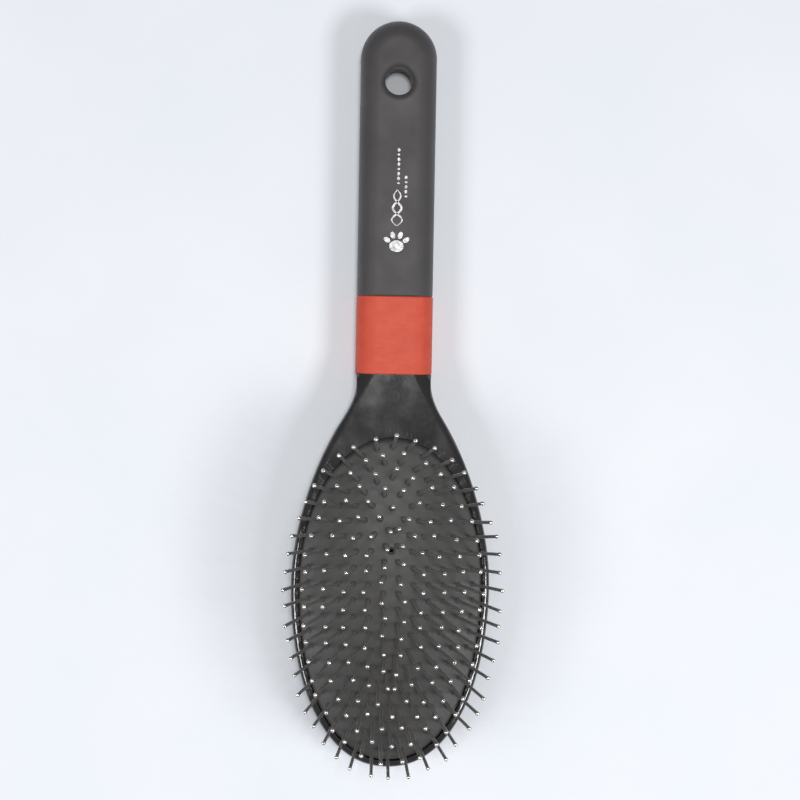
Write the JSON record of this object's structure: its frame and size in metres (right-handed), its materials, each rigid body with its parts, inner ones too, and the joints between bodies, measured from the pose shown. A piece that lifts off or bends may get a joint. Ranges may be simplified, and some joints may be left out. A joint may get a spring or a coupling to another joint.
{
  "type": "pin brush",
  "caption": "Oval air-cushioned pin brush for animal coats: domed rubber pad of straight wire pins, cupped plastic head, collar band and soft grip with a hang hole.",
  "frame": {"origin": "on the surface it lies on, under the middle of its length and width", "axes": "+Z the way the pins point, +Y along the handle away from the head, +X to the right"},
  "size_m": [0.0669, 0.23, 0.0415],
  "materials": {
    "gloss_black_plastic": "gloss moulded",
    "orange_red_plastic": "fine satin",
    "soft_black_grip": "matt soft-touch",
    "black_rubber": "matt moulded",
    "backing_cloth": "plain weave",
    "pin_steel": "polished wire"
  },
  "bodies": {
    "body": {"head_shell": "gloss_black_plastic", "rubber_cushion": "black_rubber", "cushion_backing": "backing_cloth", "collar_band": "orange_red_plastic", "handle_grip": "soft_black_grip"},
    "pins_ring_1": {"pins_ring_1": "pin_steel"},
    "pins_ring_2": {"pins_ring_2": "pin_steel"},
    "pins_ring_3": {"pins_ring_3": "pin_steel"},
    "pins_ring_4": {"pins_ring_4": "pin_steel"},
    "pins_ring_5": {"pins_ring_5": "pin_steel"},
    "pins_ring_6": {"pins_ring_6": "pin_steel"}
  },
  "joints": [
    {"name": "pins_ring_1_sink", "type": "slide", "parent": "body", "child": "pins_ring_1", "axis": [0, 0, -1], "range_m": [0, 0.000565], "stiffness_N_per_m": 420, "springref_m": -0.0006},
    {"name": "pins_ring_2_sink", "type": "slide", "parent": "body", "child": "pins_ring_2", "axis": [0, 0, -1], "range_m": [0, 0.00129], "stiffness_N_per_m": 420, "springref_m": -0.0006},
    {"name": "pins_ring_3_sink", "type": "slide", "parent": "body", "child": "pins_ring_3", "axis": [0, 0, -1], "range_m": [0, 0.0019], "stiffness_N_per_m": 420, "springref_m": -0.0006},
    {"name": "pins_ring_4_sink", "type": "slide", "parent": "body", "child": "pins_ring_4", "axis": [0, 0, -1], "range_m": [0, 0.00239], "stiffness_N_per_m": 420, "springref_m": -0.0006},
    {"name": "pins_ring_5_sink", "type": "slide", "parent": "body", "child": "pins_ring_5", "axis": [0, 0, -1], "range_m": [0, 0.00276], "stiffness_N_per_m": 420, "springref_m": -0.0006},
    {"name": "pins_ring_6_sink", "type": "slide", "parent": "body", "child": "pins_ring_6", "axis": [0, 0, -1], "range_m": [0, 0.003], "stiffness_N_per_m": 420, "springref_m": -0.0006, "deforming": ["rubber_cushion", "cushion_backing"]}
  ],
  "couplings": [
    {"joint": "pins_ring_1_sink", "follows": "pins_ring_6_sink", "ratio": 0.185},
    {"joint": "pins_ring_2_sink", "follows": "pins_ring_6_sink", "ratio": 0.427},
    {"joint": "pins_ring_3_sink", "follows": "pins_ring_6_sink", "ratio": 0.629},
    {"joint": "pins_ring_4_sink", "follows": "pins_ring_6_sink", "ratio": 0.792},
    {"joint": "pins_ring_5_sink", "follows": "pins_ring_6_sink", "ratio": 0.916}
  ]
}
